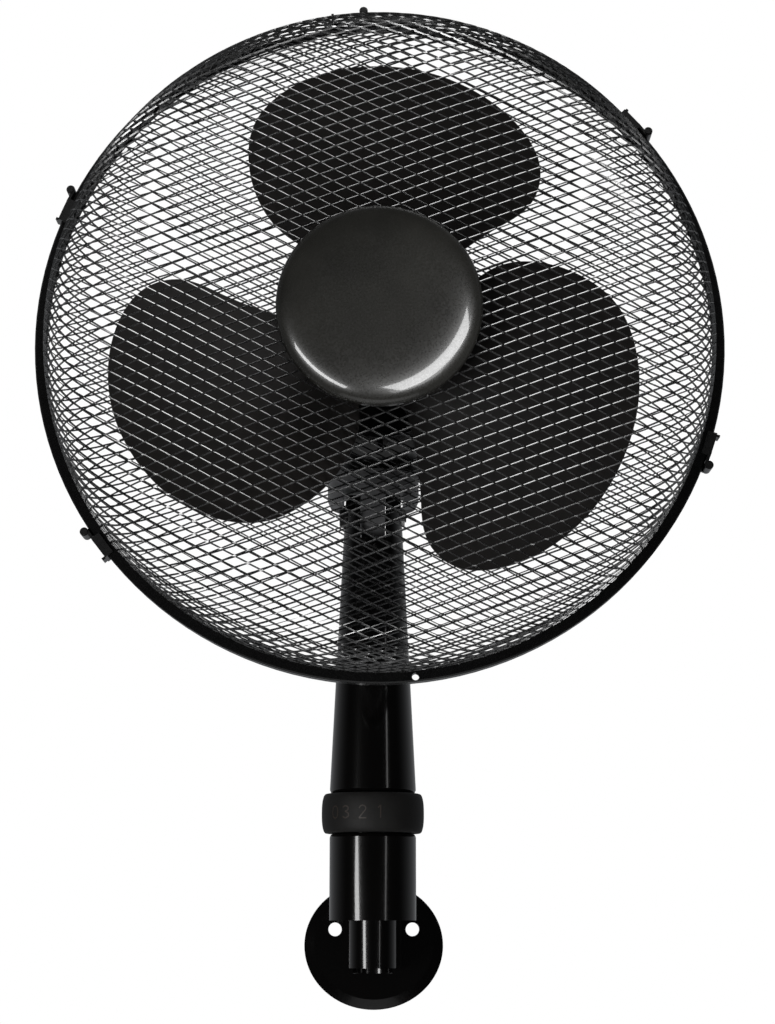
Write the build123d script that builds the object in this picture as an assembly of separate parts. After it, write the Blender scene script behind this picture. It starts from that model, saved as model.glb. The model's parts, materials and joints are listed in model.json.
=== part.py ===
from build123d import *
import math
import os

# Wall mounted fan, 40 cm class, all sizes in millimetres.
# Origin: centre of the wall plate's back face. +Z up, +Y into the wall, the fan blows towards -Y.

# ---------------------------------------------------------------- driving dimensions
# fits and gaps
face_gap = 0.3            # between faces that slide past each other
shaft_gap = 0.05          # radial, running fits
snug_gap = 0.02           # radial, fits that stay put
screw_gap = 0.2           # radial, screws in their holes

# wall bracket
wall_reach = 105.0        # wall to the axis of the column
plate_width = 96.4
plate_height = 87.4
plate_thickness = 8.0
plate_edge_depth = 3.6    # bevel round the plate's front
plate_edge_width = 7.0
plate_hole_dia = 9.4
plate_hole_spacing = 53.8
plate_hole_rise = 10.9    # holes above the plate's centre
arm_width = 37.0
arm_bottom = -16.9
arm_top = 17.0
arm_wall = 3.2
spigot_dia = 31.4
spigot_wall = 3.0
spigot_bottom = -13.2
spigot_length = 73.0

# base tube, from the top of the arm to the switch ring
tube_dia = 56.5
tube_wall = 2.6
tube_height = 55.6
tube_floor = 3.0
tube_edge_radius = 2.4    # shoulders that face the speed ring
sleeve_wall = 2.6
sleeve_height = 47.0
spool_dia = 46.0
spool_wall = 2.4
spool_height = 44.0       # above the base tube's shoulder
cable_hole_dia = 10.0
lock_screw_dia = 5.0
lock_screw_rise = 22.0    # above the tube's lower end
grommet_dia = 13.0
grommet_rise = 44.0

# speed switch
ring_height = 26.0        # room between the base tube and the column
ring_dia = 67.0
ring_end_dia = 61.6
ring_flange = 3.0
ring_wall = 3.4
switch_dia = 34.0
switch_height = 16.0
spider_dia = 18.0
spider_thickness = 4.0
spider_arm_width = 6.0
switch_travel = 60.0      # degrees: four positions, 20 apart

# column
column_top_dia = 38.2     # at the height of the tilt bolt
column_wall = 2.6
column_flange = 4.0
column_screw_dia = 4.0
column_screw_rise = 10.0
bolt_height = 283.2       # tilt bolt above the origin
ear_radius = 15.5
tongue_thickness = 16.0
clevis_floor = 6.0
bolt_dia = 6.0
bolt_head_dia = 13.6
bolt_head_height = 6.0
bolt_seat = 16.6          # half distance between the two spot faces
nut_height = 4.6

# neck
neck_dia = 61.3
neck_rise = 4.2           # lower edge above the tilt bolt
neck_height = 23.6
neck_edge_radius = 7.0
swing_offset = 4.8        # swing axis beside the column's axis
post_dia = 12.0
post_length = 36.0
post_depth = 8.0
washer_dia = 22.0
washer_thickness = 1.2
stud_offset = 16.0        # link stud from the swing axis
stud_angle = 40.0         # from +X towards the wall
stud_dia = 5.0
stud_shoulder_dia = 8.0

# fan axis, measured from the swing axis towards the front
axis_height = 372.4
ring_ahead = 120.0        # plane where the two grilles meet
rear_depth = 48.0         # rear grille, meeting plane to hub plate
front_depth = 80.0        # front grille, meeting plane to cap

# motor
cover_dia = 118.0
cover_wall = 2.4
cover_seam = 44.0
cover_rear = -58.0
cover_dome_start = -14.0
front_face = 70.0
front_face_dia = 84.0
shaft_dia = 8.0
shaft_rear = -24.0
shaft_front = 186.0
stator_dia = 86.0
stator_bore = 46.0
stator_rear = 26.0
stator_length = 22.0
air_gap = 0.4
winding_outer_dia = 78.0
winding_inner_dia = 53.0
winding_length = 8.7
frame_wall = 3.4
frame_rear = 12.0
frame_front = 62.0
frame_plate = 3.0
bearing_dia = 18.0
bearing_length = 12.0
bearing_boss_dia = 26.0
boss_dia = 20.0           # pivot boss under the rear end frame
boss_top = -29.0

# gearbox behind the motor, heights from the fan axis
case_width = (-11.0, 29.0)
case_rear = -42.0
case_bottom = -27.0
case_top = 25.0
case_wall = 3.0
worm_dia = 8.0
worm_length = 16.0
worm_centre = -14.4
wheel_offset = 13.3       # spindle beside the motor shaft
wheel_thickness = 6.0
spindle_dia = 5.0
spindle_top = 50.0
pinion_dia = 7.0
gear_thickness = 4.0
crank_offset = 16.0
crank_behind = 32.0
crank_radius = 11.0
crank_angle = -135.0      # crank pin at rest, from +X
crank_pin_dia = 4.0
link_thickness = 3.0
link_width = 5.0
link_eye_dia = 9.0
knob_dia = 21.0
knob_height = 16.0
knob_stem_dia = 10.0

# grilles
rim_dia = 430.0
rim_width = 6.3
rim_depth = 6.0
mesh_thickness = 1.6
mesh_long = 88.0          # long way of a diamond
mesh_short = 42.0         # short way of a diamond
strand_width = 3.2
mesh_border = 5.0
hub_plate_dia = 100.0
hub_plate_thickness = 2.0
rear_mesh_bore = 84.0
front_mesh_bore = 104.0
rear_mesh_seat = 104.0
front_mesh_seat = 126.0
dome_sides = 30
thread_boss_dia = 34.0
thread_boss_length = 18.0
grille_nut_dia = 58.0
grille_nut_height = 11.0

# clips that hold the two grilles together, angles seen from the front, anticlockwise from +X
clip_angles = (95.5, 41.4, -18.9, -143.2, 156.2)
clip_length = 20.5
clip_wall = 1.6
clip_lip = 4.0
clip_pin_dia = 2.4
clip_eye_dia = 5.4
clip_pin_stand = 3.05     # pin centre outside the rim
rim_hole_angle = -84.1
rim_hole_dia = 4.5

# centre cap
cap_dia = 122.0
cap_side = 7.6
cap_crown = 4.0
cap_edge_radius = 6.4
cap_wall = 2.2
cap_plate_dia = 116.0
cap_plate_bore = 70.0
cap_plate_thickness = 2.4
cap_screw_circle = 92.0
cap_screw_dia = 3.0
cap_boss_dia = 7.0

# impeller
blade_count = 3
blade_tip_radius = 170.5
blade_centre = 32.0       # middle of the blades in front of the meeting plane
blade_pitch = 36.0        # axial rise at the tip from the middle of a blade to 45 degrees round
blade_camber = 8.0        # extra rise at both edges, at the tip
blade_root_share = 0.55   # share of that rise at the axis
blade_thickness = 2.2
hub_dia = 72.0
hub_rear = 8.0            # hub's rear edge in front of the meeting plane
hub_depth = 50.0
hub_wall = 2.6
hub_boss_dia = 18.0
drive_pin_dia = 3.0
drive_pin_length = 22.0
spinner_dia = 23.0
spinner_height = 12.0

# ---------------------------------------------------------------- derived places
tube_bottom = arm_top
tube_top = tube_bottom + tube_height
ring_bottom = tube_top
column_bottom = ring_bottom + ring_height
spigot_top = spigot_bottom + spigot_length
neck_bottom = bolt_height + neck_rise
neck_top = neck_bottom + neck_height
ear_gap = 1.0
channel_roof = bolt_height + ear_radius + ear_gap
slot_half = tongue_thickness / 2 + face_gap
channel_half = column_top_dia / 2 + 0.8
opening_radius = neck_dia / 2 - cover_wall - 0.05
gear_top = case_bottom - 0.5
gear_bottom = gear_top - gear_thickness
link_gap = 0.4            # above and below the link
link_top = gear_bottom - link_gap
link_bottom = link_top - link_thickness
pin_bottom = link_bottom - 1.1
stud_place = (
    stud_offset * math.cos(math.radians(stud_angle)),
    stud_offset * math.sin(math.radians(stud_angle)),
)
pin_place = (
    crank_offset + crank_radius * math.cos(math.radians(crank_angle)),
    crank_behind + crank_radius * math.sin(math.radians(crank_angle)),
)
wheel_dia = 2 * (wheel_offset - worm_dia / 2 - face_gap)
gear_distance = math.dist((wheel_offset, worm_centre), (crank_offset, -crank_behind))
gear_dia = 2 * (gear_distance - pinion_dia / 2 - face_gap)
rim_inner = rim_dia / 2 - rim_width
hub_plate_back = ring_ahead - rear_depth - hub_plate_thickness
front_mesh_hub = ring_ahead + front_depth
cap_back = front_mesh_hub
blade_mid = ring_ahead + blade_centre
hub_back = ring_ahead + hub_rear
hub_front = hub_back + hub_depth

# places: column parts stand on the column axis, head parts lie on the fan axis (local z to the front)
COLUMN = Pos(0, -wall_reach, 0)
PIVOT = Pos(swing_offset, -wall_reach, 0)
SWING = Pos(swing_offset, -wall_reach, axis_height)
FAN = Location(Plane(origin=(swing_offset, -wall_reach, axis_height), x_dir=(1, 0, 0), z_dir=(0, -1, 0)))


# ---------------------------------------------------------------- small helpers
def rod(dia, low, high, x=0.0, y=0.0):
    """Round bar along z from low to high."""
    return Pos(x, y, low) * Cylinder(dia / 2, high - low, align=(Align.CENTER, Align.CENTER, Align.MIN))


def pipe(outer_dia, inner_dia, low, high, x=0.0, y=0.0):
    """Round ring along z."""
    return rod(outer_dia, low, high, x, y) - rod(inner_dia, low - 1, high + 1, x, y)


def block(x0, x1, y0, y1, z0, z1):
    """Box between two corners."""
    return Pos((x0 + x1) / 2, (y0 + y1) / 2, (z0 + z1) / 2) * Box(x1 - x0, y1 - y0, z1 - z0)


def turned(points):
    """Solid of revolution about z from (radius, height) corners."""
    return revolve(make_face(Polyline([(r, 0, z) for r, z in points], close=True)), Axis.Z)


def round_corner(radius, height, size, up=True):
    """Rounded outer corner of a profile in two flats, in the order that a profile is drawn upwards."""
    drop = -size if up else size
    corners = [(radius, height + drop), (radius - size * 0.3, height + drop * 0.3), (radius - size, height)]
    return corners if up else corners[::-1]


def across(dia, x0, x1, y, z):
    """Round bar along x."""
    return Pos(x0, y, z) * Rot(0, 90, 0) * Cylinder(
        dia / 2, x1 - x0, align=(Align.CENTER, Align.CENTER, Align.MIN)
    )


def along_y(dia, y0, y1, x, z):
    """Round bar along y."""
    return Pos(x, y0, z) * Rot(-90, 0, 0) * Cylinder(
        dia / 2, y1 - y0, align=(Align.CENTER, Align.CENTER, Align.MIN)
    )


def screw(dia, head_dia, head_height, length):
    """Pan head screw along z, its head's underside at z = 0 and its shank below."""
    head = rod(head_dia, 0, head_height)
    return rod(dia, -length, 0) + chamfer(head.edges().sort_by(Axis.Z)[-1], head_height * 0.35)


def up_in_head(shape):
    """Turns a shape drawn upright (z up, front at -y) about the swing axis into its place in the head."""
    return SWING * shape


# ---------------------------------------------------------------- bracket and column
def wall_bracket():
    plate = extrude(Plane.XZ * Ellipse(plate_width / 2, plate_height / 2), plate_thickness)
    front_edge = plate.edges().group_by(Axis.Y)[0]
    plate = chamfer(front_edge, plate_edge_depth, plate_edge_width)
    arm = block(-arm_width / 2, arm_width / 2, -wall_reach, -plate_thickness / 2, arm_bottom, arm_top)
    arm = fillet(arm.edges().filter_by(Axis.Y).group_by(Axis.Z)[0], arm_wall / 2)
    hollow = block(
        -arm_width / 2 + arm_wall, arm_width / 2 - arm_wall,
        -wall_reach + spigot_dia / 2, -plate_thickness, arm_bottom - 1, arm_top - arm_wall,
    )
    rib_middle = -(plate_thickness + wall_reach - spigot_dia / 2) / 2
    rib = block(
        -arm_width / 2 + 1, arm_width / 2 - 1, rib_middle - 1.2, rib_middle + 1.2,
        arm_bottom + 8, arm_top - 1,
    )
    body = plate + (arm - hollow) + rib + COLUMN * rod(spigot_dia, spigot_bottom, spigot_top)
    body -= COLUMN * rod(spigot_dia - 2 * spigot_wall, arm_bottom - 5, spigot_top + 1)
    for side in (-1, 1):
        hole_x = side * plate_hole_spacing / 2
        body -= along_y(plate_hole_dia, -plate_thickness - 1, 1, hole_x, plate_hole_rise)
    return body


def base_tube():
    outer = tube_dia / 2
    socket = spigot_dia / 2 + 0.15
    sleeve = socket + sleeve_wall
    deck = tube_bottom + sleeve_height
    spool = spool_dia / 2
    shoulder = tube_top - tube_wall
    body = turned([
        (socket, tube_bottom), (outer, tube_bottom), *round_corner(outer, tube_top, tube_edge_radius),
        (spool, tube_top),
        (spool, tube_top + spool_height), (spool - spool_wall, tube_top + spool_height),
        (spool - spool_wall, shoulder), (outer - tube_wall, shoulder),
        (outer - tube_wall, tube_bottom + tube_floor), (sleeve, tube_bottom + tube_floor),
        (sleeve, deck), (cable_hole_dia / 2, deck), (cable_hole_dia / 2, deck - tube_floor),
        (socket, deck - tube_floor),
    ])
    for k in range(4):
        rib = block(sleeve - 0.5, outer - 1, -1, 1, tube_bottom + 1, shoulder + 1)
        rib -= block(sleeve - 1, spool, -2, 2, deck, shoulder + 2)
        body += Rot(0, 0, 45 + 90 * k) * rib
    arm_slot = pipe(spool_dia + 4, spool_dia - 2 * spool_wall - 2, spider_height() - face_gap,
                    spider_height() + spider_thickness + face_gap)
    sweep = switch_travel + 24
    wedge = Rot(0, 0, 90) * sector(spool_dia, -sweep / 2 - switch_travel / 2, sweep / 2 - switch_travel / 2)
    body -= arm_slot & wedge
    body -= along_y(lock_screw_dia + 0.1, 0, outer + 1, 0, tube_bottom + lock_screw_rise)
    body -= along_y(grommet_dia - 4, sleeve, outer + 1, 0, tube_bottom + grommet_rise)
    for side in (-1, 1):
        hole = along_y(column_screw_dia + 0.1, 15, outer, 0, column_bottom + column_screw_rise)
        body -= Rot(0, 0, side * 35) * hole
    return COLUMN * body


def sector(radius, start, stop):
    """Tall wedge about z between two angles from +x."""
    corners = [(0, 0)]
    steps = 4
    for k in range(steps + 1):
        a = math.radians(start + (stop - start) * k / steps)
        corners.append((2 * radius * math.cos(a), 2 * radius * math.sin(a)))
    return Pos(0, 0, -500) * extrude(make_face(Polyline([(x, y, 0) for x, y in corners], close=True)), 1000)


def spider_height():
    return tube_top + ring_height / 2 - spider_thickness / 2


def lock_screw():
    length = tube_dia / 2 + 1.5 - spigot_dia / 2
    body = rod(lock_screw_dia, spigot_dia / 2, spigot_dia / 2 + length)
    body = chamfer(body.edges().sort_by(Axis.Z)[0], 0.8)
    body -= Pos(0, 0, spigot_dia / 2 + length) * Box(1, lock_screw_dia + 2, 2.4)
    return COLUMN * Pos(0, 0, tube_bottom + lock_screw_rise) * Rot(-90, 0, 0) * body


def cord_grommet():
    wall_in = tube_dia / 2 - tube_wall
    neck_radius = grommet_dia / 2 - 2
    body = turned([
        (2.6, wall_in - 2.4), (5.8, wall_in - 2.4), (5.8, wall_in - 0.9), (neck_radius, wall_in - 0.9),
        (neck_radius, tube_dia / 2 + 0.2),
        (grommet_dia / 2, tube_dia / 2 + 0.2), (grommet_dia / 2 - 1, tube_dia / 2 + 2.4),
        (2.6, tube_dia / 2 + 2.4),
    ])
    return COLUMN * Pos(0, 0, tube_bottom + grommet_rise) * Rot(-90, 0, 0) * body


def switch_body():
    deck = tube_bottom + sleeve_height
    body = rod(switch_dia, deck, deck + switch_height)
    body += rod(12, deck + switch_height, deck + switch_height + 3)
    body -= rod(cable_hole_dia, deck - 1, deck + 4, x=9)
    return COLUMN * body


def switch_spider():
    low = spider_height()
    deck_top = tube_bottom + sleeve_height + switch_height + 3
    body = rod(spider_dia, low, low + spider_thickness) + rod(6, deck_top, low + 1)
    reach = ring_end_dia / 2 - ring_wall - 0.5
    body += block(-spider_arm_width / 2, spider_arm_width / 2, 0, reach, low, low + spider_thickness)
    return COLUMN * body


def switch_ring():
    low = ring_bottom + face_gap
    high = column_bottom - face_gap
    bore = spool_dia / 2 + face_gap
    middle = (low + high) / 2
    end = ring_end_dia / 2
    full = ring_dia / 2
    rise = (high - low) / 4
    bulge = end + (full - end) * 0.75
    inner = end - ring_wall
    body = turned([
        (end, low), (bulge, low + rise), (full, middle), (bulge, high - rise), (end, high), (bore, high),
        (bore, high - ring_flange), (inner, high - ring_flange), (inner, low + ring_flange),
        (bore, low + ring_flange), (bore, low),
    ])
    reach = ring_end_dia / 2 - ring_wall + 0.5
    for side in (-1, 1):
        edge = side * (spider_arm_width / 2 + 1.4)
        body += block(edge - 1, edge + 1, bore + 0.5, reach, low + 1, high - 1)
    return COLUMN * body


def column_slope():
    return (tube_dia - column_top_dia) / 2 / (bolt_height - column_bottom)


def column_radius(height):
    return tube_dia / 2 - column_slope() * (height - column_bottom)


def column_tube():
    top = bolt_height + ear_radius
    floor_top = bolt_height - ear_radius - ear_gap
    hollow_top = floor_top - clevis_floor
    inner_low = column_bottom + column_flange
    bore = spool_dia / 2 + 0.1
    body = turned([
        (0, column_bottom),
        *round_corner(column_radius(column_bottom), column_bottom, tube_edge_radius, up=False),
        (column_radius(top), top), (0, top),
    ])
    body -= turned([
        (0, inner_low), (column_radius(inner_low) - column_wall, inner_low),
        (column_radius(hollow_top) - column_wall, hollow_top), (0, hollow_top),
    ])
    body -= rod(2 * bore, column_bottom - 1, inner_low + 1)
    reach = column_radius(bolt_height) + 5
    crown = block(-reach, reach, -reach, reach, bolt_height, top + 5)
    body -= crown - across(2 * ear_radius, -reach, reach, 0, bolt_height)
    body -= block(-slot_half, slot_half, -reach, reach, floor_top, top + 1)
    body -= across(bolt_dia + 2 * screw_gap, -reach, reach, 0, bolt_height)
    for side in (-1, 1):
        seat = across(bolt_head_dia + 1.5, bolt_seat, bolt_seat + 10, 0, bolt_height)
        body -= seat if side > 0 else mirror(seat, Plane.YZ)
        hole = along_y(column_screw_dia + 0.1, 15, 40, 0, column_bottom + column_screw_rise)
        body -= Rot(0, 0, side * 35) * hole
    body -= rod(7, hollow_top - 1, floor_top + 1, y=8)
    return COLUMN * body


def column_screws():
    reach = column_radius(column_bottom + column_screw_rise) + 0.3
    one = screw(column_screw_dia, 7.0, 2.2, reach - spool_dia / 2 + spool_wall + 2)
    place = Pos(0, reach, column_bottom + column_screw_rise) * Rot(-90, 0, 0) * one
    return COLUMN * Compound(children=[Rot(0, 0, side * 35) * place for side in (-1, 1)])


def tilt_bolt():
    head = across(bolt_head_dia, -bolt_seat - bolt_head_height, -bolt_seat, 0, bolt_height)
    head = chamfer(head.edges().sort_by(Axis.X)[0], 1.2)
    shank = across(bolt_dia, -bolt_seat - 1, bolt_seat + nut_height + 1, 0, bolt_height)
    return COLUMN * (head + shank)


def tilt_nut():
    nut = extrude(RegularPolygon(bolt_head_dia / 2 - 0.4, 6), nut_height)
    nut -= rod(bolt_dia + 2 * snug_gap, -1, nut_height + 1)
    return COLUMN * Pos(bolt_seat, 0, bolt_height) * Rot(0, 90, 0) * nut


# ---------------------------------------------------------------- neck
def neck():
    outer = neck_dia / 2
    drum = turned([
        (0, neck_bottom), (outer - neck_edge_radius, neck_bottom),
        (outer - neck_edge_radius * 0.3, neck_bottom + neck_edge_radius * 0.3),
        (outer, neck_bottom + neck_edge_radius), (outer, neck_top), (0, neck_top),
    ])
    reach = neck_dia
    channel = block(-channel_half, channel_half, -reach, reach, neck_bottom - 1, channel_roof)
    tongue = across(2 * (ear_radius - 1.5), -tongue_thickness / 2, tongue_thickness / 2, 0, bolt_height)
    tongue += block(-tongue_thickness / 2, tongue_thickness / 2, -ear_radius + 1.5, ear_radius - 1.5,
                    bolt_height, channel_roof + 1)
    body = drum - channel + tongue
    body -= across(bolt_dia + 2 * screw_gap, -reach, reach, 0, bolt_height)
    notch = across(bolt_head_dia + 1.6, -reach, -channel_half + 1, 0, bolt_height)
    body -= notch
    body -= mirror(notch, Plane.YZ)
    bores = rod(post_dia + 2 * snug_gap, neck_top - post_depth, neck_top + 1)
    bores += rod(stud_dia + 2 * snug_gap, neck_top - 6, neck_top + 1, *stud_place)
    body -= Pos(swing_offset, 0, 0) * bores
    body -= rod(7, channel_roof - 1, neck_top + 1, y=19)
    return COLUMN * body


def pivot_post():
    body = rod(post_dia, neck_top - post_depth, neck_top - post_depth + post_length)
    return PIVOT * chamfer(body.edges().sort_by(Axis.Z)[-1], 1)


def thrust_washer():
    return PIVOT * pipe(washer_dia, post_dia + 2 * shaft_gap, neck_top, neck_top + washer_thickness)


def link_stud():
    top = axis_height + link_bottom - link_gap
    body = rod(stud_dia, neck_top - 6, top) + rod(stud_shoulder_dia, neck_top, top)
    return PIVOT * Pos(*stud_place) * body


# ---------------------------------------------------------------- motor housing
def motor_rear_cover():
    outer = cover_dia / 2
    dome = cover_dome_start - cover_rear
    bands = ((1.0, 0), (0.955, 0.45), (0.82, 0.76), (0.56, 0.94), (0, 1.0))
    outside = [(outer, cover_seam)] + [(outer * r, cover_dome_start - dome * z) for r, z in bands]
    shrink = (outer - cover_wall) / outer
    inside = [(r * shrink, max(z, cover_dome_start - (cover_dome_start - z) * (dome - cover_wall) / dome))
              for r, z in outside]
    shell = turned(outside + inside[::-1])
    for k in range(10):
        slot = Pos(outer * 0.62, 0, cover_rear + 12) * Box(18, 3.4, 40)
        shell -= Rot(0, 0, 36 * k + 18) * slot
    shell -= rod(4, cover_rear - 1, cover_rear + 5)
    body = FAN * shell
    bottom = neck_top + face_gap - axis_height
    skirt = pipe(neck_dia, 2 * opening_radius, bottom, -outer * 0.55)
    keep = FAN * rod(2 * outer - 1, cover_rear, cover_seam)
    body -= up_in_head(rod(2 * opening_radius, bottom - 5, -10))
    body += up_in_head(skirt) - keep
    body -= up_in_head(rod(knob_stem_dia + 1, 10, 90, x=wheel_offset, y=-worm_centre))
    return body


def motor_front_cover():
    outer = cover_dia / 2
    face = front_face_dia / 2
    wall = cover_wall
    boss = thread_boss_dia / 2
    end = front_face + thread_boss_length
    seat = bearing_boss_dia / 2 + 0.3
    body = turned([
        (outer, cover_seam), (outer, cover_seam + 8), (face, front_face), (boss, front_face), (boss, end),
        (shaft_dia / 2 + 2, end), (shaft_dia / 2 + 2, front_face - 1), (seat, front_face - 1),
        (seat, front_face - wall), (face - 1, front_face - wall), (outer - wall, cover_seam + 7),
        (outer - wall, cover_seam),
    ])
    for k in range(4):
        pillar = rod(9, frame_front, front_face - wall + 0.5, x=32)
        body += Rot(0, 0, 45 + 90 * k) * pillar
        body -= Rot(0, 0, 45 + 90 * k) * (rod(4.2, frame_front - 5, front_face + 1, x=32)
                                         + rod(7.6, front_face - 2.6, front_face + 1, x=32))
    for k in range(8):
        slot = Pos(outer * 0.86, 0, cover_seam + 18) * Box(11, 3.4, 30)
        body -= Rot(0, 0, 45 * k) * slot
    return FAN * body


def motor_screws():
    one = screw(4.0, 7.0, 2.2, 10)
    return FAN * Compound(children=[
        Rot(0, 0, 45 + 90 * k) * Pos(32, 0, front_face - 2.6) * one for k in range(4)
    ])


def end_frame(plate_low, plate_high, ring_low, ring_high, boss_low, boss_high):
    """Cast cup that holds the stator and one bearing."""
    hold = stator_dia / 2 + snug_gap
    body = pipe(2 * (hold + frame_wall), 2 * hold, ring_low, ring_high)
    body += pipe(2 * hold + 2, bearing_boss_dia - 2, plate_low, plate_high)
    body += pipe(bearing_boss_dia, bearing_dia + 2 * snug_gap, boss_low, boss_high)
    for k in range(4):
        window = pipe(2 * hold - 8, bearing_boss_dia + 8, plate_low - 1, plate_high + 1)
        body -= window & (Rot(0, 0, 90 * k) * sector(stator_dia, -24, 24))
    return body


def rear_end_frame():
    middle = stator_rear + stator_length / 2
    body = end_frame(
        frame_rear, frame_rear + frame_plate, frame_rear, middle - 0.1, frame_rear - 6, frame_rear + 6,
    )
    shape = FAN * body
    low = neck_top + washer_thickness - axis_height
    boss = rod(boss_dia, low, boss_top)
    hold = stator_dia / 2 + frame_wall
    web = block(-7, 7, -frame_rear - 1.5, 0, -hold + 1, boss_top)
    bore = rod(post_dia + 2 * shaft_gap, low - 1, neck_top - post_depth + post_length - axis_height + 1)
    return shape + up_in_head(boss + web - bore)


def front_end_frame():
    middle = stator_rear + stator_length / 2
    body = end_frame(
        frame_front - frame_plate, frame_front, middle + 0.1, frame_front - 2,
        frame_front - 6, frame_front + 6,
    )
    for k in range(4):
        body += Rot(0, 0, 45 + 90 * k) * rod(9, frame_front - 4, frame_front, x=32)
        body -= Rot(0, 0, 45 + 90 * k) * rod(4.1, frame_front - 10, frame_front + 1, x=32)
    return FAN * body


def stator_core():
    end = stator_rear + stator_length
    body = pipe(stator_dia, stator_bore, stator_rear, end)
    for k in range(4):
        flat = Pos(stator_dia / 2 + 1.2, 0, (stator_rear + end) / 2) * Box(4, 14, stator_length + 2)
        body -= Rot(0, 0, 90 * k) * flat
    return FAN * body


def stator_windings():
    end = stator_rear + stator_length
    rear = pipe(winding_outer_dia, winding_inner_dia, stator_rear - winding_length, stator_rear)
    front = pipe(winding_outer_dia, winding_inner_dia, end, end + winding_length)
    rear = chamfer(rear.edges().group_by(Axis.Z)[0], 2.4)
    front = chamfer(front.edges().group_by(Axis.Z)[-1], 2.4)
    return FAN * Compound(children=[rear, front])


def bearing(low):
    return FAN * pipe(bearing_dia, shaft_dia + 2 * shaft_gap, low, low + bearing_length)


def gearbox_case():
    x0, x1 = case_width
    front = frame_rear
    body = block(x0, x1, -front, -case_rear, case_bottom, case_top - case_wall)
    body -= block(x0 + case_wall, x1 - case_wall, -front + case_wall, -case_rear - case_wall,
                  case_bottom + case_wall, case_top)
    body -= along_y(bearing_boss_dia + 1, -front - 1, -front + case_wall + 3, 0, 0)
    spindle_bore = spindle_dia + 2 * shaft_gap
    body -= rod(spindle_bore, case_bottom - 1, case_bottom + case_wall + 1, wheel_offset, -worm_centre)
    body += rod(spindle_dia, gear_bottom - 1, case_bottom + 1, crank_offset, crank_behind)
    body += along_y(8, -case_rear - 1, -cover_rear - cover_wall - 2 * face_gap, 0, 0)
    body -= along_y(3.1, -case_rear - 1, -cover_rear, 0, 0)
    return up_in_head(body)


def gearbox_lid():
    x0, x1 = case_width
    lid = block(x0, x1, -frame_rear, -case_rear, case_top - case_wall, case_top)
    lid = fillet(lid.edges().filter_by(Axis.Z), 2)
    lid -= rod(spindle_dia + 2 * shaft_gap, 0, case_top + 1, wheel_offset, -worm_centre)
    return up_in_head(lid)


def rear_cover_screw():
    one = screw(3.0, 6.5, 2.0, 12)
    return FAN * Pos(0, 0, cover_rear) * Rot(180, 0, 0) * one


# ---------------------------------------------------------------- oscillation drive
def worm_wheel():
    body = pipe(wheel_dia, spindle_dia + 2 * snug_gap, -wheel_thickness / 2, wheel_thickness / 2)
    return up_in_head(Pos(wheel_offset, -worm_centre, 0) * body)


def drive_spindle():
    body = rod(spindle_dia, gear_top, spindle_top) + rod(pinion_dia, gear_bottom, gear_top)
    return up_in_head(Pos(wheel_offset, -worm_centre, 0) * body)


def crank_gear():
    body = pipe(gear_dia, spindle_dia + 2 * shaft_gap, gear_bottom, gear_top)
    body = Pos(crank_offset, crank_behind, 0) * body
    body += rod(crank_pin_dia, pin_bottom, gear_bottom + 1, *pin_place)
    return up_in_head(body)


def link_rod():
    length = math.dist(stud_place, pin_place)
    turn = math.degrees(math.atan2(pin_place[1] - stud_place[1], pin_place[0] - stud_place[0]))
    body = rod(link_eye_dia, link_bottom, link_top) + rod(link_eye_dia, link_bottom, link_top, x=length)
    body += block(0, length, -link_width / 2, link_width / 2, link_bottom, link_top)
    body -= rod(stud_dia, link_bottom - 1, link_top + 1)
    body -= rod(crank_pin_dia + 2 * shaft_gap, link_bottom - 1, link_top + 1, x=length)
    return up_in_head(Pos(*stud_place) * Rot(0, 0, turn) * body)


def oscillation_knob():
    low = cover_dia / 2 + 1.0
    head = rod(knob_dia, low, low + knob_height)
    head = chamfer(head.edges().sort_by(Axis.Z)[-1], 2)
    for k in range(8):
        head -= Rot(0, 0, 45 * k) * rod(3, low + 2, low + knob_height + 1, x=knob_dia / 2 + 0.8)
    body = head + rod(knob_stem_dia, case_top + 1, low + 1)
    body -= rod(spindle_dia + 0.4, case_top, spindle_top + 1)
    return up_in_head(Pos(wheel_offset, -worm_centre, 0) * body)


# ---------------------------------------------------------------- rotor
def motor_shaft():
    body = rod(shaft_dia, shaft_rear, shaft_front)
    body -= across(drive_pin_dia + 2 * snug_gap, -10, 10, 0, drive_pin_place())
    return FAN * chamfer(body.edges().sort_by(Axis.Z)[-1], 1)


def drive_pin_place():
    return hub_back + 10


def rotor_core():
    end = stator_rear + stator_length
    return FAN * pipe(stator_bore - 2 * air_gap, shaft_dia + 2 * snug_gap, stator_rear, end)


def thrust_collar():
    low = worm_centre - worm_length / 2
    body = pipe(worm_dia + 4, shaft_dia + 2 * snug_gap, low - 3, low)
    return FAN * body


def drive_pin():
    return FAN * across(drive_pin_dia, -drive_pin_length / 2, drive_pin_length / 2, 0, drive_pin_place())


def blade_outline():
    """Outline of the top blade seen from the front, anticlockwise from its leading root."""
    tip = blade_tip_radius
    root = hub_dia / 2 - 4
    places = [
        (root, 40), (0.45 * tip, 47), (0.61 * tip, 44), (0.77 * tip, 43), (0.88 * tip, 47.5),
        (0.95 * tip, 56), (0.99 * tip, 68), (tip, 79), (0.985 * tip, 92), (0.955 * tip, 103),
        (0.90 * tip, 114), (0.83 * tip, 122.5), (0.72 * tip, 130), (0.58 * tip, 137), (0.44 * tip, 140.5), (0.34 * tip, 138),
        (root, 126),
    ]
    points = [(r * math.cos(math.radians(a)), r * math.sin(math.radians(a))) for r, a in places]
    return make_face([Spline(points), Line(points[-1], points[0])])


def blade_rise(radius, angle):
    """Axial place of the blade's middle surface at a place seen from the front."""
    share = (angle - 88) / 45
    whole = blade_pitch * share + blade_camber * share * share
    return whole * (blade_root_share + (1 - blade_root_share) * radius / blade_tip_radius)


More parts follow.
